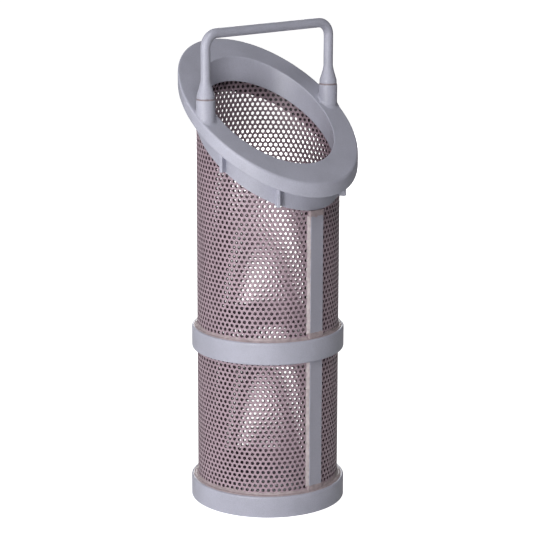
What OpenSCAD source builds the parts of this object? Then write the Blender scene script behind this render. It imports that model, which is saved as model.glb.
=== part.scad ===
// Basket strainer: a perforated screen tube with an oblique seating flange, two
// stiffening bands, a closed base and a fixed lifting handle, all solvent cemented.
// Origin: centre of the underside of the base. +Z runs up the axis of the tube.
// The mouth slopes down towards -Y, and the handle spans the mouth along X.

/* [Screen tube] */
// Outer radius of the perforated tube
screen_r = 63; // [60:0.5:66]
// Thickness of the perforated sheet
sheet_t = 2; // [1.5:0.1:2.5]

/* [Sloping mouth] */
// Height of the mouth's top face, measured on the axis of the tube
mouth_z = 353; // [320:1:400]
// Slope of the mouth from horizontal
mouth_tilt = 34.5; // [25:0.5:38]
// Radius of the round opening through the flange
bore_r = 57.5; // [55:0.5:58]
// Outer radius of the flange
flange_r = 78.8; // [78:0.1:84]
// Height of the flange's edge, measured vertically
flange_h = 12.5; // [8:0.5:16]
// Depth from the top face to the shoulder that stops the tube, measured vertically
shoulder_drop = 22.4; // [18:0.2:26]
// Depth from the top face to the lower edge of the collar, measured vertically
collar_drop = 36.2; // [32:0.2:42]
// Wall of the collar's skirt outside the tube
skirt_t = 0.8; // [0.6:0.1:1]

/* [Centring ribs] */
// Outer radius that the ribs reach
rib_r = 70.5; // [68:0.5:75]
// Thickness of each rib
rib_t = 3.2; // [2:0.2:5]
// Turn of the low pair of ribs from the low point of the mouth
rib_low_angle = 33.5; // [25:0.5:40]
// Turn of the high pair of ribs from the low point of the mouth
rib_high_angle = 76; // [70:0.5:85]
// Depth from the top face to the foot of each low rib, measured vertically at the collar
rib_low_drop = 37.2; // [34:0.2:42]
// Depth from the top face to the foot of each high rib, measured the same way
rib_high_drop = 35.6; // [34:0.2:42]

/* [Handle] */
// Distance from the axis of the tube to each leg of the handle
leg_x = 70.4; // [68:0.1:71]
// Diameter of the round bar
bar_d = 8.5; // [7:0.5:10]
// Height of the bar's centre line above the base
bar_z = 423.5; // [400:0.5:450]
// Bend radius of the bar's corners, at its centre line
bend_r = 12; // [6:0.5:16]
// Height of the joint between the legs and the bosses
joint_z = 368; // [364:1:374]
// Diameter of the bosses on the flange
boss_d = 16.6; // [14:0.2:16.8]
// Diameter of the flared feet of the legs
foot_d = 15.4; // [12:0.2:15.6]
// Height of the flare on each leg
flare_h = 13; // [8:1:18]
// Height of the straight part of the foot, below the flare
foot_h = 3.4; // [2:0.2:8]
// Length of the spigot that enters each boss
spigot_l = 10; // [6:1:12]
// Thickness of the cement line between a foot and its boss
cement_line = 0.5; // [0.3:0.1:1]

/* [Bands and base] */
// Outer radius of the base ring
base_r = 69; // [67:0.5:72]
// Height of the base ring
base_h = 19; // [15:0.5:25]
// Thickness of the closed end plate
plate_t = 6; // [4:0.5:8]
// Outer radius of the middle band
band_r = 68; // [66:0.5:71]
// Height of the lower edge of the middle band
band_z = 139; // [120:1:160]
// Height of the middle band
band_h = 20; // [15:0.5:25]
// Rounding of the outer edges of the bands
edge_r = 2.2; // [1:0.1:2.4]
// Width of the cement fillets above the bands
fillet_w = 2.4; // [1.5:0.1:2.6]
// Height of the cement fillets above the bands
fillet_h = 4.4; // [3:0.2:6]

/* [Seam] */
// Width of the strip that covers the seam of the rolled sheet
strip_w = 14.6; // [10:0.2:18]
// Thickness of the strip at its middle
strip_t = 2; // [1.5:0.1:2.5]
// Gap between the upper strip and the collar above it
strip_gap = 4; // [3:0.5:6]
// Width of the cement bead along one edge of each strip
bead_w = 3; // [2:0.2:4]
// Width of the backing sheet inside the seam
backing_w = 21; // [18:1:36]
// Thickness of the backing sheet
backing_t = 1.2; // [0.8:0.1:1.5]

/* [Hidden] */
$fn = 96;
tube_fn = 360;                           // facets where a thin piece beds on the tube
slope = tan(mouth_tilt);                 // rise of the mouth per unit of +Y
collar_r = screen_r + skirt_t;
screen_in_r = screen_r - sheet_t;
plank = 8 * flange_r;                    // larger than anything the slabs cut
low_collar_z = mouth_z - collar_drop - collar_r * slope;
band_top = band_z + band_h;
straight_x = leg_x - bend_r;
straight_z = bar_z - bend_r;
foot_z = joint_z + cement_line;
upper_strip = [band_top + fillet_h, low_collar_z - strip_gap];
lower_strip = [base_h + fillet_h, band_z];

PVC_GREY = [0.66, 0.66, 0.70];
SHEET_MAUVE = [0.62, 0.54, 0.57];
CEMENT_BUFF = [0.74, 0.66, 0.65];

// Everything below the sloping plane that lies `drop` under the mouth's top face.
module below_slope(drop) {
    translate([0, 0, mouth_z - drop])
        rotate([mouth_tilt, 0, 0])
            translate([-plank / 2, -plank / 2, -plank])
                cube([plank, plank, plank]);
}

// A slab between two planes that are both parallel to the mouth.
module slope_slab(top_drop, bottom_drop) {
    difference() {
        below_slope(top_drop);
        below_slope(bottom_drop);
    }
}

module tube(outer, inner, z0, z1) {
    translate([0, 0, z0])
        difference() {
            cylinder(r = outer, h = z1 - z0);
            translate([0, 0, -1]) cylinder(r = inner, h = z1 - z0 + 2);
        }
}

// A ring with its two outer edges rounded, as an exact turned solid.
module rounded_band(outer, inner, height) {
    rotate_extrude() {
        translate([inner, 0]) square([outer - inner - edge_r, height]);
        translate([inner, edge_r]) square([outer - inner, height - 2 * edge_r]);
        for (z = [edge_r, height - edge_r])
            translate([outer - edge_r, z]) circle(r = edge_r);
    }
}

// A triangular bead of cement on the tube, standing on a band's top face.
module cement_fillet(z) {
    color(CEMENT_BUFF)
        translate([0, 0, z])
            rotate_extrude()
                polygon([[screen_r, 0], [screen_r + fillet_w, 0], [screen_r, fillet_h]]);
}

module flange_ring() {
    color(PVC_GREY)
        intersection() {
            tube(flange_r, bore_r, 0, bar_z);
            slope_slab(0, flange_h);
        }
}

// The collar hangs from the flange: thick down to the shoulder, then a thin skirt.
module collar() {
    color(PVC_GREY) {
        intersection() {
            tube(collar_r, bore_r, 0, bar_z);
            slope_slab(flange_h, shoulder_drop);
        }
        intersection() {
            tube(collar_r, screen_r, 0, bar_z);
            slope_slab(shoulder_drop, collar_drop);
        }
    }
}

// A vertical gusset between the collar and the underside of the flange. Its foot is
// level, close to the collar's own lower edge. `turn` is from the low point.
module rib(turn, drop) {
    foot = mouth_z - drop - collar_r * cos(turn) * slope;
    color(PVC_GREY)
        intersection() {
            difference() {
                rotate([0, 0, turn])
                    translate([-rib_t / 2, -rib_r, foot])
                        cube([rib_t, rib_r - screen_r / 2, plank]);
                cylinder(r = collar_r, h = bar_z, $fn = tube_fn);
            }
            below_slope(flange_h);
        }
}

// A round boss on the flange's top face, bored for the spigot of the handle's leg.
module boss(side) {
    color(PVC_GREY)
        difference() {
            translate([side * leg_x, 0, mouth_z - boss_d])
                cylinder(d = boss_d, h = joint_z - mouth_z + boss_d);
            below_slope(0);
            translate([side * leg_x, 0, joint_z - spigot_l])
                cylinder(d = bar_d, h = spigot_l + 1);
        }
}

module handle_cement(side) {
    color(CEMENT_BUFF)
        translate([side * leg_x, 0, joint_z])
            difference() {
                cylinder(d = foot_d + 0.2, h = cement_line);
                translate([0, 0, -1]) cylinder(d = bar_d, h = cement_line + 2);
            }
}

// One leg: spigot, flared foot and straight bar, all on the leg's own axis.
module leg(side) {
    translate([side * leg_x, 0, joint_z - spigot_l])
        cylinder(d = bar_d, h = straight_z - joint_z + spigot_l);
    translate([side * leg_x, 0, foot_z]) {
        cylinder(d = foot_d, h = foot_h);
        translate([0, 0, foot_h]) cylinder(d1 = foot_d, d2 = bar_d, h = flare_h);
    }
}

// The quarter bend between a leg and the crossbar.
module bend(side) {
    translate([side * straight_x, 0, straight_z])
        rotate([90, 0, side > 0 ? 0 : 180])
            rotate_extrude(angle = 90)
                translate([bend_r, 0]) circle(d = bar_d);
}

module handle() {
    color(PVC_GREY) {
        for (side = [-1, 1]) {
            leg(side);
            bend(side);
        }
        translate([-straight_x, 0, bar_z])
            rotate([0, 90, 0])
                cylinder(d = bar_d, h = 2 * straight_x);
    }
}

// The rolled sheet, stopped by the collar's shoulder and standing on the end plate.
module screen_tube() {
    color(SHEET_MAUVE)
        intersection() {
            tube(screen_r, screen_in_r, plate_t, bar_z);
            below_slope(shoulder_drop);
        }
}

// A curved sheet inside the tube that backs the seam, down the low side of the mouth.
module seam_backing() {
    color(SHEET_MAUVE)
        intersection() {
            tube(screen_in_r, screen_in_r - backing_t, plate_t, bar_z);
            below_slope(shoulder_drop);
            translate([-backing_w / 2, -screen_r, 0]) cube([backing_w, screen_r, bar_z]);
        }
}

// A flat strip bedded on the outside of the tube over the seam.
module seam_strip(span) {
    color(PVC_GREY)
        difference() {
            translate([-strip_w / 2, -screen_r - strip_t, span[0]])
                cube([strip_w, screen_r, span[1] - span[0]]);
            cylinder(r = screen_r, h = bar_z, $fn = tube_fn);
        }
}

// The cement squeezed out along the left edge of a strip.
module seam_bead(span) {
    color(CEMENT_BUFF)
        translate([0, 0, span[0]])
            linear_extrude(span[1] - span[0])
                difference() {
                    polygon([[-strip_w / 2, -screen_r - strip_t],
                             [-strip_w / 2 - bead_w, -screen_r + strip_t / 2],
                             [-strip_w / 2 - bead_w, -screen_r / 2],
                             [-strip_w / 2, -screen_r / 2]]);
                    circle(r = screen_r, $fn = tube_fn);
                }
}

module middle_band() {
    color(PVC_GREY)
        translate([0, 0, band_z]) rounded_band(band_r, screen_r, band_h);
}

module base_ring() {
    color(PVC_GREY) rounded_band(base_r, screen_r, base_h);
}

module end_plate() {
    color(PVC_GREY) cylinder(r = screen_r, h = plate_t);
}

flange_ring();
collar();
rib(-rib_low_angle, rib_low_drop);  // rib_front_left
rib(rib_low_angle, rib_low_drop);  // rib_front_right
rib(-rib_high_angle, rib_high_drop);  // rib_side_left
rib(rib_high_angle, rib_high_drop);  // rib_side_right
boss(-1);  // boss_left
boss(1);  // boss_right
handle();
handle_cement(-1);  // handle_cement_left
handle_cement(1);  // handle_cement_right
screen_tube();
seam_backing();
seam_strip(upper_strip);  // seam_strip_upper
seam_strip(lower_strip);  // seam_strip_lower
seam_bead(upper_strip);  // seam_bead_upper
seam_bead(lower_strip);  // seam_bead_lower
middle_band();
cement_fillet(band_top);  // middle_band_cement
base_ring();
cement_fillet(base_h);  // base_cement
end_plate();
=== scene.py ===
"""Basket strainer in grey PVC: punched screen, sloping flange, bands, cemented seam and handle."""
import math
import bmesh
import bpy
from mathutils import Matrix, Vector, noise


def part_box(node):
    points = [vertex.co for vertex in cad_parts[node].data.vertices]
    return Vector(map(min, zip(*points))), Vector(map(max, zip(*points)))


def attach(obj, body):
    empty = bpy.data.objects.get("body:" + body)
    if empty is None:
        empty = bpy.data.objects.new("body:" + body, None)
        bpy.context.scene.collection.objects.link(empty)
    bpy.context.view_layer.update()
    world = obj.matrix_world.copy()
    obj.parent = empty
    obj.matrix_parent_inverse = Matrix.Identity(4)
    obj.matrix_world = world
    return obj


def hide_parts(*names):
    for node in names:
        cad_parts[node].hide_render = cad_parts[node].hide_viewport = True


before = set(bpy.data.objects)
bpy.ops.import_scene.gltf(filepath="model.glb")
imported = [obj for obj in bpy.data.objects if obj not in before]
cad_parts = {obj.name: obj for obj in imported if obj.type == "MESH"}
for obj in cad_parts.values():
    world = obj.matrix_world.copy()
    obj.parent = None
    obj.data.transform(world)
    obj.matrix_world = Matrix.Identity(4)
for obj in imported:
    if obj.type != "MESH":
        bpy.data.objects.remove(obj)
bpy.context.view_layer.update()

MM = 0.001
BODY = "root"
SIDES = ((-1, "left"), (1, "right"))

# ---- sizes, read from the frame where a node's box gives them ---------------------------------


def radius(node):
    """Outer radius of a CAD node that is turned about the Z axis."""
    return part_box(node)[1].y


def low_z(node):
    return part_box(node)[0].z


def high_z(node):
    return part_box(node)[1].z


SLOPE = math.tan(math.radians(34.5))  # rise of the mouth per unit of +Y
BORE_R = 57.5 * MM  # the mouth's opening
SHEET_T = 2 * MM  # the punched sheet's thickness
FLANGE_R = radius("flange_ring")
COLLAR_R = radius("collar")
SHEET_R = radius("screen_tube")
BASE_R = radius("base_ring")
BAND_R = radius("middle_band")
MOUTH_Z = high_z("flange_ring") - FLANGE_R * SLOPE
FLANGE_H = MOUTH_Z - FLANGE_R * SLOPE - low_z("flange_ring")
SHOULDER_DROP = MOUTH_Z + SHEET_R * SLOPE - high_z("screen_tube")
COLLAR_DROP = MOUTH_Z - COLLAR_R * SLOPE - low_z("collar")
LEG_X = (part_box("handle_cement_right")[0].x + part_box("handle_cement_right")[1].x) / 2
FOOT_R = radius("handle_cement_right") - 0.1 * MM
FOOT_H = 3.4 * MM  # the straight part of the handle's feet
FLARE_H = 13 * MM  # the taper from a foot to the bar
BAR_R = 4.25 * MM
BAR_Z = high_z("handle") - BAR_R
BEND_R = 12 * MM  # the bar's corners, at its centre line
BED = 0.05 * MM  # how far pieces that meet are let into each other or kept apart

# ---- mesh tools -----------------------------------------------------------------------------
SEGMENTS = 240  # round the tube
SUPPORT = 1.2 * MM  # how far from the ends of a long side its extra points lie
CREASE = math.radians(40)  # faces that meet at more than this keep a crisp edge


def mouth_z(y, drop=0.0):
    """Height of the mouth's top face at y, or of the plane that lies `drop` below it."""
    return MOUTH_Z + y * SLOPE - drop


def on_tube(angle, r, z):
    """A point at radius r, turned by `angle` from the low side of the mouth (-Y) towards +X."""
    return (r * math.sin(angle), -r * math.cos(angle), z)


def under_mouth(angle, r, drop):
    """(radius, z) of a point that lies `drop` below the mouth's top face."""
    return (r, mouth_z(-r * math.cos(angle), drop))


def tube_y(x):
    """The y of the tube's outside on its low side, at x."""
    return -math.sqrt(SHEET_R**2 - x * x)


def wobble(point, scale, seed=0.0):
    """Smooth noise from -1 to 1 over features of about `scale`, in the point's own unit."""
    return noise.noise(Vector(point) / scale + Vector((seed, seed * 1.7, -seed)))


def adopt(name, mesh, material, replaced):
    """A smooth-shaded piece that rides on the basket and stands for the CAD nodes it replaces."""
    piece = bpy.data.objects.new(name, mesh)
    bpy.context.scene.collection.objects.link(piece)
    mesh.shade_smooth()
    mesh.set_sharp_from_angle(angle=CREASE)
    mesh.materials.append(material)
    even = piece.modifiers.new("even_normals", "WEIGHTED_NORMAL")
    even.keep_sharp = True
    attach(piece, BODY)
    if replaced:
        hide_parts(*replaced)


def add_piece(name, shape, material, replaced=()):
    """A piece made from a closed shape, which is a list of vertices and one of faces."""
    verts, faces = shape
    mesh = bpy.data.meshes.new(name)
    mesh.from_pydata(verts, [], faces)
    bm = bmesh.new()
    bm.from_mesh(mesh)
    bmesh.ops.remove_doubles(bm, verts=bm.verts, dist=1e-6)
    bmesh.ops.recalc_face_normals(bm, faces=bm.faces)
    bm.to_mesh(mesh)
    bm.free()
    adopt(name, mesh, material, replaced)


def round_corners(corners, cuts, steps):
    """A closed outline with each corner cut back by its own amount and rounded off."""
    outline = []
    for i, (corner, cut) in enumerate(zip(corners, cuts)):
        if cut == 0:
            outline.append(tuple(corner))
            continue
        before, here = Vector(corners[i - 1]), Vector(corner)
        after = Vector(corners[(i + 1) % len(corners)])
        start = here + (before - here).normalized() * cut
        end = here + (after - here).normalized() * cut
        for k in range(steps + 1):
            t = k / steps
            outline.append(tuple(start * (1 - t) ** 2 + here * 2 * t * (1 - t) + end * t**2))
    return outline


def around(cx, z, r, count=64):
    """A level ring of points about an upright axis through (cx, 0)."""
    turns = [2 * math.pi * k / count for k in range(count)]
    return [(cx + r * math.cos(a), r * math.sin(a), z) for a in turns]


def loft(rings, closed_path):
    """The shape that joins equal rings of points, with end caps unless the path closes."""
    n, count = len(rings[0]), len(rings)
    verts = [point for ring in rings for point in ring]
    faces = []
    for i in range(count if closed_path else count - 1):
        j = (i + 1) % count
        for k in range(n):
            m = (k + 1) % n
            faces.append((i * n + k, i * n + m, j * n + m, j * n + k))
    if not closed_path:
        faces.append(tuple(range(n)))
        faces.append(tuple((count - 1) * n + k for k in reversed(range(n))))
    return verts, faces


def turned(outline_at):
    """A ring round the tube. outline_at(angle) gives its closed outline as (radius, z) points.

    Long sides get extra points near their ends, so that the paler edges, partly wear and partly
    painted highlight, stay narrow."""
    first = outline_at(0)
    lengths = [math.dist(a, b) for a, b in zip(first, first[1:] + first[:1])]
    rings = []
    for i in range(SEGMENTS):
        angle = 2 * math.pi * i / SEGMENTS
        outline = outline_at(angle)
        ring = []
        for a, b, length in zip(outline, outline[1:] + outline[:1], lengths):
            near = SUPPORT / length
            for t in [0, near, 0.5, 1 - near] if length > 4 * MM else [0]:
                ring.append(on_tube(angle, a[0] + (b[0] - a[0]) * t, a[1] + (b[1] - a[1]) * t))
        rings.append(ring)
    return loft(rings, closed_path=True)


# ---- materials ------------------------------------------------------------------------------
def new_material(name):
    material = bpy.data.materials.new(name)
    material.use_nodes = True
    nodes, links = material.node_tree.nodes, material.node_tree.links
    return material, nodes, links, nodes["Principled BSDF"]


def noise_node(nodes, links, place, scale, detail=4.0, stretch=None):
    """A noise texture in object coordinates, stretched along an axis if asked."""
    tex = nodes.new("ShaderNodeTexNoise")
    tex.inputs["Scale"].default_value = scale
    tex.inputs["Detail"].default_value = detail
    source = place.outputs["Object"]
    if stretch:
        mapping = nodes.new("ShaderNodeMapping")
        mapping.inputs["Scale"].default_value = stretch
        links.new(source, mapping.inputs["Vector"])
        source = mapping.outputs["Vector"]
    links.new(source, tex.inputs["Vector"])
    return tex.outputs["Fac"]


def ramp_node(nodes, links, source, stops):
    """Colours from (position, colour) stops."""
    ramp = nodes.new("ShaderNodeValToRGB")
    links.new(source, ramp.inputs["Fac"])
    elements = ramp.color_ramp.elements
    while len(elements) < len(stops):
        elements.new(0.5)
    for element, (position, colour) in zip(elements, stops):
        element.position = position
        element.color = (*colour, 1)
    return ramp.outputs["Color"]


def product_node(nodes, links, a, b):
    """Two colours multiplied."""
    mix = nodes.new("ShaderNodeMix")
    mix.data_type = "RGBA"
    mix.blend_type = "MULTIPLY"
    mix.inputs["Factor"].default_value = 1
    links.new(a, mix.inputs["A"])
    links.new(b, mix.inputs["B"])
    return mix.outputs["Result"]


def range_node(nodes, links, source, low, high):
    """A value from 0 to 1 carried over to the range from low to high."""
    scale = nodes.new("ShaderNodeMapRange")
    scale.inputs["To Min"].default_value = low
    scale.inputs["To Max"].default_value = high
    links.new(source, scale.inputs["Value"])
    return scale.outputs["Result"]


def bump_node(nodes, links, height, strength, distance, below=None):
    bump = nodes.new("ShaderNodeBump")
    bump.inputs["Strength"].default_value = strength
    bump.inputs["Distance"].default_value = distance
    links.new(height, bump.inputs["Height"])
    if below:
        links.new(below, bump.inputs["Normal"])
    return bump.outputs["Normal"]


def scaled(colour, k):
    return tuple(c * k for c in colour)


def plastic(name, colour, spread=0.07, stretch=None, grain=0.25):
    """Moulded or sheet PVC: clouded colour, specks, paler edges that are partly wear and partly
    painted highlight, uneven gloss and a fine grain.
    """
    material, nodes, links, shader = new_material(name)
    place = nodes.new("ShaderNodeTexCoord")
    clouds = noise_node(nodes, links, place, 38, stretch=stretch)
    specks = noise_node(nodes, links, place, 1400, detail=2)
    smears = noise_node(nodes, links, place, 90, detail=6)
    edges = nodes.new("ShaderNodeNewGeometry").outputs["Pointiness"]
    base = ramp_node(nodes, links, clouds,
                     [(0.3, scaled(colour, 1 - spread)), (0.7, scaled(colour, 1 + spread))])
    speck_tone = ramp_node(nodes, links, specks,
                           [(0.3, (0.9, 0.9, 0.9)), (0.65, (1.06, 1.06, 1.06))])
    # Edges paled by pointiness: partly wear, partly painted highlight.
    edge_wear_and_painted_highlight = ramp_node(nodes, links, edges, [(0.5, (1, 1, 1)), (0.6, (1.14, 1.14, 1.15))])
    tone = product_node(nodes, links, product_node(nodes, links, base, speck_tone), edge_wear_and_painted_highlight)
    links.new(tone, shader.inputs["Base Color"])
    links.new(range_node(nodes, links, smears, 0.32, 0.44), shader.inputs["Roughness"])
    fine = bump_node(nodes, links, specks, grain, 0.12 * MM)
    soft = bump_node(nodes, links, smears, grain, 0.4 * MM, below=fine)
    links.new(soft, shader.inputs["Normal"])
    return material


def cement(name, colour):
    """Dried solvent cement: blotchy, a little glossy and lumpy."""
    material, nodes, links, shader = new_material(name)
    place = nodes.new("ShaderNodeTexCoord")
    blotches = noise_node(nodes, links, place, 260, detail=6)
    lumps = noise_node(nodes, links, place, 520, detail=3)
    base = ramp_node(nodes, links, blotches,
                     [(0.3, scaled(colour, 0.8)), (0.52, colour), (0.72, scaled(colour, 1.2))])
    links.new(base, shader.inputs["Base Color"])
    links.new(range_node(nodes, links, blotches, 0.25, 0.5), shader.inputs["Roughness"])
    links.new(bump_node(nodes, links, lumps, 0.5, 0.5 * MM), shader.inputs["Normal"])
    return material


GREY = plastic("grey_pvc", (0.447, 0.449, 0.532))
SHEET = plastic("sheet_pvc", (0.392, 0.289, 0.336), spread=0.08, stretch=(1, 1, 0.35), grain=0.3)
# Hole walls: near black, painted shade inside the punched holes.
SHEET_HOLE_SHADE = plastic("sheet_hole_painted_shade", (0.14, 0.1, 0.115))
SHEET_DARK = plastic("sheet_in_shadow", (0.04, 0.03, 0.033))
STRIP = plastic("strip_pvc", (0.385, 0.38, 0.45), stretch=(1, 1, 0.3))
CEMENT = cement("solvent_cement", (0.47, 0.41, 0.42))
CEMENT_THIN = cement("cement_film", (0.4, 0.325, 0.34))
CEMENT_JOINT = cement("cement_in_joint", (0.27, 0.225, 0.245))
# Cement in the socket, coloured near black: painted shade in the holes that the skirt covers.
SOCKET_CEMENT_PAINTED_SHADE = cement("cement_with_painted_shade_in_socket", (0.05, 0.04, 0.045))

# ---- punched screen -------------------------------------------------------------------------
HOLE_R = 0.5 * 3.175 * MM
HOLE_SIDES = 10  # with more, the upper piece would pass 200,000 triangles
ROW_H = 4.1196 * MM
TURN = 2 * math.pi / 82.7  # from one hole to the next in a row
COLUMNS = 80  # the seam's plain edges take the place of the others
FIRST_TURN = math.radians(-9.54)  # the column beside the seam's cement bead
FIRST_Z = 271.06 * MM  # the height of row 0
CLIMB = 0.537 * MM  # rise of the rows per radian of turn, as the sheet is rolled askew
PLAIN_FOOT = 21 * MM  # the sheet has no holes below this height
GRID = 2 * COLUMNS + 2  # grid corners round the tube: two for each brick, and the seam's
# The first and last point of the hole that each corner of a brick fans out to.
FANS = ((0, 2), (2, 2), (2, 4), (5, 7), (7, 7), (7, 9))


def grid_vertex(line, column, skin):
    """The number of a grid corner's vertex, on the outer skin (0) or the inner one (1)."""
    return (line * GRID + column % GRID) * 2 + skin


def grid_angle(column):
    return FIRST_TURN + TURN / 2 - column * TURN / 2


def through_sheet(angle, z):
    """The two points on the sheet's outer and inner skin."""
    return [on_tube(angle, SHEET_R, z), on_tube(angle, SHEET_R - SHEET_T, z)]


def plain_faces(line, left, right):
    """The plain stretch of both skins above a grid line, between two columns."""
    loop = [(line, left), (line + 1, left), (line + 1, right), (line, right)]
    return [tuple(grid_vertex(*corner, 0) for corner in loop),
            tuple(grid_vertex(*corner, 1) for corner in reversed(loop))]


def rim_points(angle, z):
    points = []
    for k in range(HOLE_SIDES):
        turn = 2 * math.pi * (k + 0.5) / HOLE_SIDES
        points += through_sheet(angle - HOLE_R * math.cos(turn) / SHEET_R,
                                z + HOLE_R * math.sin(turn))
    return points


def brick_faces(line, column, first):
    """Both skins of a brick, between its six corners and the hole whose points begin at first."""
    loop = [(line + 1, column + 2), (line + 1, column + 1), (line + 1, column),
            (line, column), (line, column + 1), (line, column + 2)]
    faces = []
    for skin in (0, 1):
        corners = [grid_vertex(*corner, skin) for corner in loop]
        rim = [first + 2 * k + skin for k in range(HOLE_SIDES)]
        outside = []
        for i, (k0, k1) in enumerate(FANS):
            here, following = corners[i], corners[(i + 1) % 6]
            outside += [(here, rim[k + 1], rim[k]) for k in range(k0, k1)]
            if i in (2, 5):  # the brick's upright sides
                outside.append((here, following, rim[(k1 + 1) % HOLE_SIDES], rim[k1]))
            else:
                outside.append((here, following, rim[k1]))
        faces += outside if skin == 0 else [face[::-1] for face in outside]
    return faces


def hole_walls(first):
    pairs = [(first + 2 * k, first + 2 * ((k + 1) % HOLE_SIDES)) for k in range(HOLE_SIDES)]
    return [(a, b, b + 1, a + 1) for a, b in pairs]


def cut_off(bm, point, normal):
    """Takes away what lies beyond a plane and closes the cut."""
    cut = bmesh.ops.bisect_plane(bm, geom=bm.verts[:] + bm.edges[:] + bm.faces[:], dist=1e-7,
                                 plane_co=point, plane_no=normal, clear_outer=True)
    edges = [e for e in cut["geom_cut"] if isinstance(e, bmesh.types.BMEdge)]
    bmesh.ops.holes_fill(bm, edges=edges, sides=0)


def add_sheet(name, rows, foot=None, cut_plane=None):
    """A stretch of the rolled sheet, from a level foot if it has one.

    Each row of holes is a course of bricks, one hole in each, which tile the staggered pattern.
    The seam is one wide plain brick, with a plain half brick beside it."""
    lines = [] if foot is None else [(foot, 0)]  # each grid line's height and climb
    base = len(lines)
    lines += [(FIRST_Z + (row - 0.5) * ROW_H, CLIMB) for row in (*rows, rows.stop)]
    verts, faces, walls = [], [], []
    for z, climb in lines:
        for column in range(GRID):
            verts += through_sheet(grid_angle(column), z + climb * grid_angle(column))
    if base:
        for column in range(GRID):
            faces += plain_faces(0, column, column + 1)
    for line, row in enumerate(rows, start=base):
        shift = row % 2
        half_brick = 0 if shift else GRID - 2
        faces += plain_faces(line, half_brick, half_brick + 1)
        faces += plain_faces(line, GRID - 1, GRID)
        for column in range(shift, shift + 2 * COLUMNS, 2):
            angle = grid_angle(column + 1)
            faces += brick_faces(line, column, len(verts))
            walls += hole_walls(len(verts))
            verts += rim_points(angle, FIRST_Z + row * ROW_H + CLIMB * angle)
    for line in (0, len(lines) - 1):
        for column in range(GRID):
            faces.append((grid_vertex(line, column, 0), grid_vertex(line, column + 1, 0),
                          grid_vertex(line, column + 1, 1), grid_vertex(line, column, 1)))

    mesh = bpy.data.meshes.new(name)
    mesh.from_pydata(verts, [], faces + walls)
    # The hole walls take the second material, which is painted shade inside the holes.
    for wall in mesh.polygons[len(faces):]:
        wall.material_index = 1
    bm = bmesh.new()
    bm.from_mesh(mesh)
    if cut_plane:
        cut_off(bm, *cut_plane)
    bmesh.ops.recalc_face_normals(bm, faces=bm.faces)
    bm.to_mesh(mesh)
    bm.free()
    adopt(name, mesh, SHEET, ["screen_tube"])
    mesh.materials.append(SHEET_HOLE_SHADE)


def make_screen():
    """Two pieces that meet at a grid line behind the middle band."""
    split = (low_z("middle_band") + high_z("middle_band")) / 2
    first_row = math.ceil((PLAIN_FOOT - FIRST_Z) / ROW_H)
    split_row = round((split - FIRST_Z) / ROW_H)
    past_top_row = math.floor((high_z("screen_tube") - FIRST_Z) / ROW_H + 2.5) + 1
    shoulder = ((0, 0, mouth_z(0, SHOULDER_DROP)), (0, -SLOPE, 1))
    add_sheet("screen_lower", range(first_row, split_row), foot=low_z("screen_tube"))
    add_sheet("screen_upper", range(split_row, past_top_row), cut_plane=shoulder)


# ---- flange, collar and ribs ----------------------------------------------------------------
# Each pair's turn from the low side in degrees, and the radius that its noses reach.
RIBS = {"rib_front": (33.5, 70.4 * MM), "rib_side": (76.5, 69.4 * MM)}


def make_head():
    """The flange with the collar under it, as one moulding: rim, skirt, shoulder and bore."""
    # Each corner's radius, its drop below the mouth's top face, and its rounding in mm.
    corners = [(FLANGE_R, 0, 2.1), (FLANGE_R, FLANGE_H, 1.3), (COLLAR_R, FLANGE_H, 1.4),
               (COLLAR_R, COLLAR_DROP, 0.35), (SHEET_R, COLLAR_DROP, 0.1),
               (SHEET_R, SHOULDER_DROP, 0.1), (BORE_R, SHOULDER_DROP, 0.7), (BORE_R, 0, 1)]

    def outline(angle):
        return round_corners([under_mouth(angle, r, drop) for r, drop, _ in corners],
                             [cut * MM for _, _, cut in corners], 5)
    add_piece("head_moulding", turned(outline), GREY, ["flange_ring", "collar"])


def make_socket_film():
    """Dried cement between the skirt and the sheet. It closes the holes that the skirt covers, and
    its near-black colour is painted shade in them.
    """
    inner, outer = SHEET_R - 0.02 * MM, SHEET_R + 0.15 * MM
    top, bottom = SHOULDER_DROP + 0.2 * MM, COLLAR_DROP - 0.6 * MM

    def outline(angle):
        return [under_mouth(angle, outer, top), under_mouth(angle, outer, bottom),
                under_mouth(angle, inner, bottom), under_mouth(angle, inner, top)]
    add_piece("socket_film_with_painted_shade", turned(outline), SOCKET_CEMENT_PAINTED_SHADE)


def make_rib(node, turn, nose):
    """A gusset with a round nose at radius `nose`, softened where it meets the collar."""
    foot = low_z(node)
    half, swell, root = 1.6 * MM, 0.7 * MM, COLLAR_R - 0.4 * MM
    corners = [(-half - swell, root), (-half, root + swell), (-half, nose), (half, nose),
               (half, root + swell), (half + swell, root)]
    plan = round_corners(corners, [0, 0.6 * MM, 0.8 * MM, 0.8 * MM, 0.6 * MM, 0], 4)
    rings = []
    for rise, inset in ((0, 0.5 * MM), (0.15 * MM, 0.2 * MM), (0.5 * MM, 0), (None, 0)):
        ring = []
        for side, r in plan:
            side *= 1 - inset / (half + swell)
            r = root + (r - root) * (1 - inset / (nose - root))
            x = r * math.sin(turn) + side * math.cos(turn)
            y = -r * math.cos(turn) + side * math.sin(turn)
            top = mouth_z(y, FLANGE_H) + 0.3 * MM
            ring.append((x, y, top if rise is None else foot + rise))
        rings.append(ring)
    add_piece(node + "_gusset", loft(rings, closed_path=False), GREY, [node])


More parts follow.
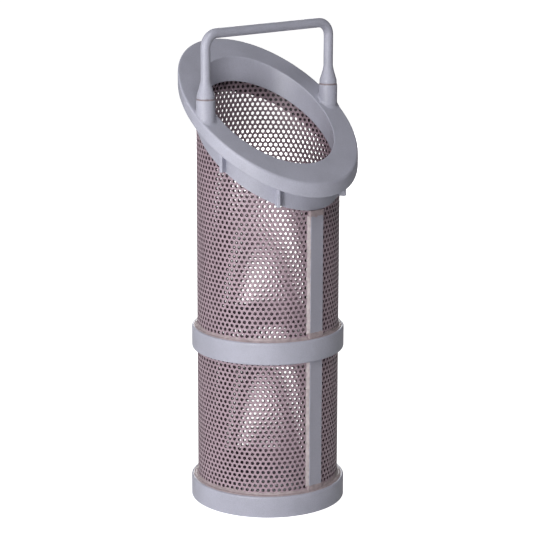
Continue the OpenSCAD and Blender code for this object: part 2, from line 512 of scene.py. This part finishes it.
# ---- handle ---------------------------------------------------------------------------------
def make_boss(node, side):
    """A boss that swells out where it stands on the sloping face, cut off at the flange's rim."""
    low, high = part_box(node)
    r = (high.y - low.y) / 2
    swell, reach = 2.2 * MM, FLANGE_R - 0.25 * MM
    steps = 7
    rings = []
    for k in range(steps + 1):
        t = math.pi / 2 * k / steps
        up = swell * (1 - math.cos(t)) - 0.15 * MM
        ring = []
        for x, y, _ in around(side * LEG_X, 0, r + swell * (1 - math.sin(t))):
            inwards = min(1, reach / math.hypot(x, y))
            ring.append((x * inwards, y * inwards, mouth_z(y * inwards) + up))
        rings.append(ring)
    for drop, inset in ((0.8, 0), (0.35, 0.12), (0.1, 0.4), (0, 0.85)):
        rings.append(around(side * LEG_X, high.z - drop * MM, r - inset * MM))
    add_piece(node + "_turned", loft(rings, closed_path=False), GREY, [node])


def make_joint_cement(node, side):
    """The thread of cement squeezed out between a foot and its boss."""
    z = (low_z(node) + high_z(node)) / 2
    profile = [(-0.6, 1.3), (0.02, 1.1), (0.2, 0.7), (0.3, 0.2), (0.42, -0.3), (0.5, -0.7),
               (-0.7, -1)]  # out from the foot and up from the joint, in mm
    count = 96
    rings = []
    for k in range(count):
        a = 2 * math.pi * k / count
        lump = (0.8 + 0.35 * wobble((math.cos(a), math.sin(a), side), 0.35)) * MM
        rings.append([(side * LEG_X + (FOOT_R + out * lump) * math.cos(a),
                       (FOOT_R + out * lump) * math.sin(a), z + up * lump)
                      for out, up in profile])
    add_piece(node + "_thread", loft(rings, closed_path=True), CEMENT_JOINT,
              [node])


def leg_stations():
    """(height over the foot's end, radius) up one leg, below its bend."""
    flare_steps, leg_steps = 12, 8
    bar_start = FOOT_H + FLARE_H
    stations = [(0, FOOT_R - 0.3 * MM), (0.25 * MM, FOOT_R)]
    stations += [(FOOT_H * k / 4, FOOT_R) for k in range(1, 5)]
    for k in range(1, flare_steps + 1):
        t = k / flare_steps
        stations.append((FOOT_H + FLARE_H * t, BAR_R + (FOOT_R - BAR_R) * (1 - t) ** 1.3))
    climb = BAR_Z - BEND_R - high_z("handle_cement_left") - bar_start
    stations += [(bar_start + climb * k / leg_steps, BAR_R) for k in range(1, leg_steps)]
    return stations


def handle_path():
    """Stations (x, z, radius, tilt) from the left foot over the bar to the right foot."""
    bend_steps, bar_steps = 16, 9
    foot_z = high_z("handle_cement_left")
    left = [(-LEG_X, foot_z + dz, r, 0) for dz, r in leg_stations()]
    for k in range(bend_steps + 1):
        t = math.pi / 2 * k / bend_steps
        left.append((-LEG_X + BEND_R * (1 - math.cos(t)), BAR_Z - BEND_R * (1 - math.sin(t)),
                     BAR_R * (1 + 0.02 * math.sin(2 * t)), t))
    straight = LEG_X - BEND_R
    bar = [(straight * k / bar_steps, BAR_Z, BAR_R, math.pi / 2)
           for k in range(1 - bar_steps, bar_steps)]
    right = [(-x, z, r, math.pi - t) for x, z, r, t in reversed(left)]
    return left + bar + right


def make_handle():
    """The bent bar with its flared feet, very slightly out of round."""
    count = 48
    rings = []
    for x, z, r, tilt in handle_path():
        ring = []
        for k in range(count):
            a = 2 * math.pi * k / count
            out = r * (1 + 0.004 * wobble((x, r * math.sin(a) * 3, z), 0.02))
            across = out * math.cos(a)
            ring.append((x - across * math.cos(tilt), out * math.sin(a),
                         z + across * math.sin(tilt)))
        rings.append(ring)
    add_piece("handle_bent_rod", loft(rings, closed_path=False), GREY, ["handle"])


# ---- bands, base and their cement -----------------------------------------------------------
def make_band(node, low_round, high_round):
    """A ring whose outer edges are rounded, and whose outside is not quite round."""
    low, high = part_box(node)
    cuts = [0, low_round * MM, high_round * MM, 0]

    def outline(angle):
        sway = 0.06 * MM * wobble((math.sin(angle), math.cos(angle), low.z), 0.9)
        inner, outer = SHEET_R - BED, high.y + sway - 0.1 * MM
        return round_corners([(inner, low.z), (outer, low.z), (outer, high.z), (inner, high.z)],
                             cuts, 6)
    add_piece(node + "_turned", turned(outline), GREY, [node])


def make_band_cement(node, reach):
    """A hand-laid fillet: it covers a band's top face and creeps unevenly up the sheet."""
    low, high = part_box(node)
    height = high.z - low.z
    count = 720
    rings = []
    for i in range(count):
        angle = 2 * math.pi * i / count
        spot = (math.sin(angle), math.cos(angle), low.z * 3)
        h = height * (0.62 + 0.3 * wobble(spot, 0.35) + 0.2 * wobble(spot, 0.06))
        w = reach * (0.8 + 0.12 * wobble(spot, 0.2, 3) + 0.1 * wobble(spot, 0.04, 3))
        lump = 1 + 0.35 * wobble(spot, 0.045, 7)
        profile = [(-0.3 * MM, -0.2 * MM), (w, -0.2 * MM), (w * 0.9, 0.25 * MM * lump),
                   (w * 0.62, 0.75 * MM * lump), (w * 0.36, 0.28 * h * lump),
                   (0.16 * w * lump, 0.62 * h), (0.15 * MM, 0.93 * h), (-0.3 * MM, h)]
        rings.append([on_tube(angle, SHEET_R + out, low.z + up) for out, up in profile])
    add_piece(node + "_fillet", loft(rings, closed_path=True), CEMENT_THIN,
              [node])


def make_end_plate():
    low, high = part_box("end_plate")
    r = high.y - BED
    stations = [(0, 0.3), (0, 0.985), (0.02, 0.995), (0.1, 1), (0.9, 1), (1, 0.99), (1, 0.3)]
    rings = [around(0, low.z + (high.z - low.z) * up, r * k, SEGMENTS) for up, k in stations]
    add_piece("end_plate_disc", loft(rings, closed_path=False), GREY, ["end_plate"])


# ---- seam -----------------------------------------------------------------------------------
def make_strip(node):
    """A flat strip with slightly uneven edges and softened ends, let into the sheet."""
    low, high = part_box(node)
    face = low.y + 0.08 * MM
    end_insets = (0.5 * MM, 0.12 * MM)
    count = 120
    rings = []
    for i in range(count + 1):
        z = low.z + (high.z - low.z) * i / count
        end = min(i, count - i)
        inset = end_insets[end] if end < len(end_insets) else 0
        left = low.x + inset + 0.12 * MM * wobble((z, 1, 0), 0.03)
        right = high.x - inset + 0.16 * MM * (wobble((z, 2, 0), 0.02) - 1)
        front = face + inset + 0.08 * MM * wobble((z, 3, 0), 0.05)
        corners = [(left, tube_y(left) + 0.3 * MM), (left, front),
                   (right, front), (right, tube_y(right) + 0.3 * MM)]
        outline = round_corners(corners, [0, 0.5 * MM, 0.7 * MM, 0], 4)
        rings.append([(x, y, z) for x, y in outline])
    add_piece(node + "_bar", loft(rings, closed_path=False), STRIP, [node])


def make_bead(node):
    """The cement that oozed out along the strip's left edge: a lumpy bead with a thin smear."""
    low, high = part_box(node)
    width, buried = high.x - low.x, 0.2 * MM
    profile = ((0, 0.92), (0.16, 0.96), (0.34, 0.8), (0.52, 0.52), (0.7, 0.26), (0.88, 0.1),
               (1, -0.12))  # parts of the width away from the strip, and of the bead's height
    count = 260
    rings = []
    for i in range(count + 1):
        z = low.z + (high.z - low.z) * i / count
        taper = min(1, (min(i, count - i) + 1) / 4)
        lump = 1 + 0.28 * wobble((z, 0, 5), 0.006) + 0.2 * wobble((z, 0, 9), 0.0022)
        w = width * (0.86 + 0.16 * wobble((z, 0, 2), 0.012) + 0.1 * wobble((z, 0, 3), 0.003))
        top = low.y + 0.35 * MM + 0.2 * MM * wobble((z, 0, 12), 0.008)
        ring = []
        for across, rise in profile:
            x = high.x + buried - w * across
            ring.append((x, tube_y(x) + (top - tube_y(x)) * min(1.05, rise * lump) * taper, z))
        ring.append((high.x - w, tube_y(high.x - w) + 0.5 * MM, z))
        ring.append((high.x + buried, tube_y(high.x) + 0.5 * MM, z))
        rings.append(ring)
    add_piece(node + "_ooze", loft(rings, closed_path=False), CEMENT, [node])


def make_smear(name, z_full, z_faded, seed):
    """A film of cement over a strip's end. It is thickest at z_full and gone by z_faded."""
    low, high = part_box("seam_strip_upper")
    left, right = low.x - 1.2 * MM, high.x + 0.9 * MM
    middle, half = (left + right) / 2, (right - left) / 2
    rows, columns = 26, 44
    outside, inside = [], []
    for i in range(rows):
        u = i / (rows - 1)
        z = z_full + (z_faded - z_full) * u
        for j in range(columns):
            x = left + (right - left) * j / (columns - 1)
            inwards = 1 - (abs(x - middle) / half) ** 6  # 0 at the film's edges, 1 well inside
            ground = low.y if inwards > 0.42 else tube_y(x)
            film = (0.32 * (1 - u) ** 0.8 + 0.24 * wobble((x, z, seed), 0.004)
                    + 0.12 * wobble((x, z, seed), 0.0014) - 0.1 - 0.3 * u)
            film -= (1 - inwards) * 0.4
            outside.append((x, ground - film * MM, z))
            inside.append((x, tube_y(x) + 0.8 * MM, z))
    shift = rows * columns
    faces = []
    for i in range(rows - 1):
        for j in range(columns - 1):
            a = i * columns + j
            faces.append((a, a + 1, a + columns + 1, a + columns))
            faces.append(tuple(shift + k for k in (a, a + columns, a + columns + 1, a + 1)))
    border = list(range(columns))
    border += [i * columns + columns - 1 for i in range(1, rows)]
    border += [(rows - 1) * columns + j for j in reversed(range(columns - 1))]
    border += [i * columns for i in reversed(range(1, rows - 1))]
    for a, b in zip(border, border[1:] + border[:1]):
        faces.append((a, shift + a, shift + b, b))
    add_piece(name, (outside + inside, faces), CEMENT_THIN)


def make_backing():
    """The sheet inside the seam, bent to the tube and ending under the collar's shoulder."""
    low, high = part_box("seam_backing")
    outer = SHEET_R - SHEET_T - BED
    inner = outer - 1.15 * MM
    half = math.asin(high.x / (SHEET_R - SHEET_T))
    steps, count = 16, 90
    turns = [half * (2 * k / steps - 1) for k in range(steps + 1)]
    outline = [(a, outer) for a in turns] + [(a, inner) for a in reversed(turns)]
    rings = []
    for i in range(count + 1):
        ring = []
        for a, r in outline:
            top = mouth_z(-outer * math.cos(a), SHOULDER_DROP) - 0.2 * MM
            ring.append(on_tube(a, r, low.z + (top - low.z) * i / count))
        rings.append(ring)
    add_piece("seam_backing_sheet", loft(rings, closed_path=False), SHEET_DARK,
              ["seam_backing"])


make_screen()
make_head()
make_socket_film()
for side, name in SIDES:
    for rib, (turn, nose) in RIBS.items():
        make_rib(f"{rib}_{name}", math.radians(turn * side), nose)
for side, name in SIDES:
    make_boss("boss_" + name, side)
    make_joint_cement("handle_cement_" + name, side)
make_handle()
make_band("middle_band", 1.9, 1.9)
make_band("base_ring", 0.7, 1.9)
make_band_cement("middle_band_cement", BAND_R - 1.2 * MM - SHEET_R)
make_band_cement("base_cement", BASE_R - 1.3 * MM - SHEET_R)
make_end_plate()
for part in ("upper", "lower"):
    make_strip("seam_strip_" + part)
    make_bead("seam_bead_" + part)
make_backing()
make_smear("smear_under_collar", high_z("seam_strip_upper") + 4.1 * MM,
           high_z("seam_strip_upper") - 5.5 * MM, 1.3)
make_smear("smear_above_band", low_z("seam_strip_upper") - 3.6 * MM,
           low_z("seam_strip_upper") + 3 * MM, 4.1)
make_smear("smear_above_base", low_z("seam_strip_lower") - 3.6 * MM,
           low_z("seam_strip_lower") + 2.5 * MM, 6.7)

# ---- camera, floor and light ----------------------------------------------------------------
VIEW_TURN = math.radians(-40.84)  # from the low side of the mouth, as all turns
VIEW_RISE = math.radians(13.61)
VIEW_ROLL = 0.002  # radians
VIEW_DISTANCE = 28.63 * SHEET_R
VIEW_HEIGHT = 3.3305 * SHEET_R  # of the point on the axis that the camera faces
SENSOR = 36  # mm, as is the focal length
FOCAL = 136.2224
AMBIENT = 0.045  # world light from every side
LEFT_GLOW = 0.32  # more of it from the camera's left
LIGHT_DISTANCE = 1.9
LIGHT_AIM = Vector((0, 0, 0.22))  # the middle of the basket
FLOOR_R = 30
FLOOR_GLOW = 0.98  # brings what the camera sees of the floor up to white
WHITE = (1, 1, 1, 1)


def make_camera():
    data = bpy.data.cameras.new("camera")
    data.sensor_width = SENSOR
    data.lens = FOCAL
    data.clip_start = 0.05
    data.clip_end = 100
    camera = bpy.data.objects.new("camera", data)
    bpy.context.scene.collection.objects.link(camera)
    turn = Matrix.Rotation(VIEW_TURN, 4, "Z")
    tip = Matrix.Rotation(math.pi / 2 - VIEW_RISE, 4, "X")
    roll = Matrix.Rotation(VIEW_ROLL, 4, "Z")
    spot = turn @ Vector((0, -VIEW_DISTANCE * math.cos(VIEW_RISE),
                          VIEW_HEIGHT + VIEW_DISTANCE * math.sin(VIEW_RISE)))
    camera.matrix_world = Matrix.Translation(spot) @ turn @ tip @ roll
    bpy.context.scene.camera = camera


def make_light(name, turn, rise, size, power):
    """A round lamp aimed at the middle of the basket, turned in degrees as the camera is."""
    data = bpy.data.lights.new(name, "AREA")
    data.shape = "DISK"
    data.size = size
    data.energy = power
    light = bpy.data.objects.new(name, data)
    bpy.context.scene.collection.objects.link(light)
    turn, rise = math.radians(turn), math.radians(rise)
    away = Vector((math.sin(turn) * math.cos(rise), -math.cos(turn) * math.cos(rise),
                   math.sin(rise)))
    light.location = LIGHT_AIM + away * LIGHT_DISTANCE
    light.rotation_euler = away.to_track_quat("Z", "Y").to_euler()


def for_camera_rays(nodes, links, others, camera, output):
    """Shows camera rays one shader and lights the scene with another."""
    path = nodes.new("ShaderNodeLightPath")
    mix = nodes.new("ShaderNodeMixShader")
    links.new(path.outputs["Is Camera Ray"], mix.inputs["Fac"])
    links.new(others, mix.inputs[1])
    links.new(camera, mix.inputs[2])
    links.new(mix.outputs["Shader"], nodes[output].inputs["Surface"])


def make_world():
    """Soft light from the left, and a background that the camera sees as white."""
    world = bpy.data.worlds.new("studio")
    world.use_nodes = True
    nodes, links = world.node_tree.nodes, world.node_tree.links
    place = nodes.new("ShaderNodeTexCoord")
    towards_left = nodes.new("ShaderNodeVectorMath")
    towards_left.operation = "DOT_PRODUCT"
    towards_left.inputs[1].default_value = (-math.cos(VIEW_TURN), -math.sin(VIEW_TURN), 0)
    links.new(place.outputs["Generated"], towards_left.inputs[0])
    # The range clamps, so the right half stays at AMBIENT.
    strength = range_node(nodes, links, towards_left.outputs["Value"],
                          AMBIENT, AMBIENT + LEFT_GLOW)
    dim = nodes["Background"]
    dim.inputs["Color"].default_value = WHITE
    links.new(strength, dim.inputs["Strength"])
    white = nodes.new("ShaderNodeBackground")
    white.inputs["Color"].default_value = WHITE
    for_camera_rays(nodes, links, dim.outputs["Background"], white.outputs["Background"],
                    "World Output")
    bpy.context.scene.world = world


def make_floor():
    """A pale floor. The camera sees it as white, like the background behind it."""
    mesh = bpy.data.meshes.new("floor")
    bm = bmesh.new()
    bmesh.ops.create_circle(bm, cap_ends=True, radius=FLOOR_R, segments=96)
    bm.to_mesh(mesh)
    bm.free()
    floor = bpy.data.objects.new("floor", mesh)
    bpy.context.scene.collection.objects.link(floor)
    material, nodes, links, shader = new_material("floor_white")
    shader.inputs["Base Color"].default_value = (0.8, 0.8, 0.8, 1)
    shader.inputs["Roughness"].default_value = 0.9
    glow = nodes.new("ShaderNodeEmission")
    glow.inputs["Color"].default_value = WHITE
    glow.inputs["Strength"].default_value = FLOOR_GLOW
    add = nodes.new("ShaderNodeAddShader")
    links.new(shader.outputs["BSDF"], add.inputs[0])
    links.new(glow.outputs["Emission"], add.inputs[1])
    for_camera_rays(nodes, links, shader.outputs["BSDF"], add.outputs["Shader"],
                    "Material Output")
    mesh.materials.append(material)


make_camera()
make_world()
make_floor()
make_light("key", -66, 8, 0.55, 15.9)
make_light("side", -95, 8, 0.9, 6.2)
make_light("top", -41, 55, 0.9, 13.2)
make_light("back", 139, 10, 0.9, 10)
bpy.context.scene.view_settings.view_transform = "Standard"
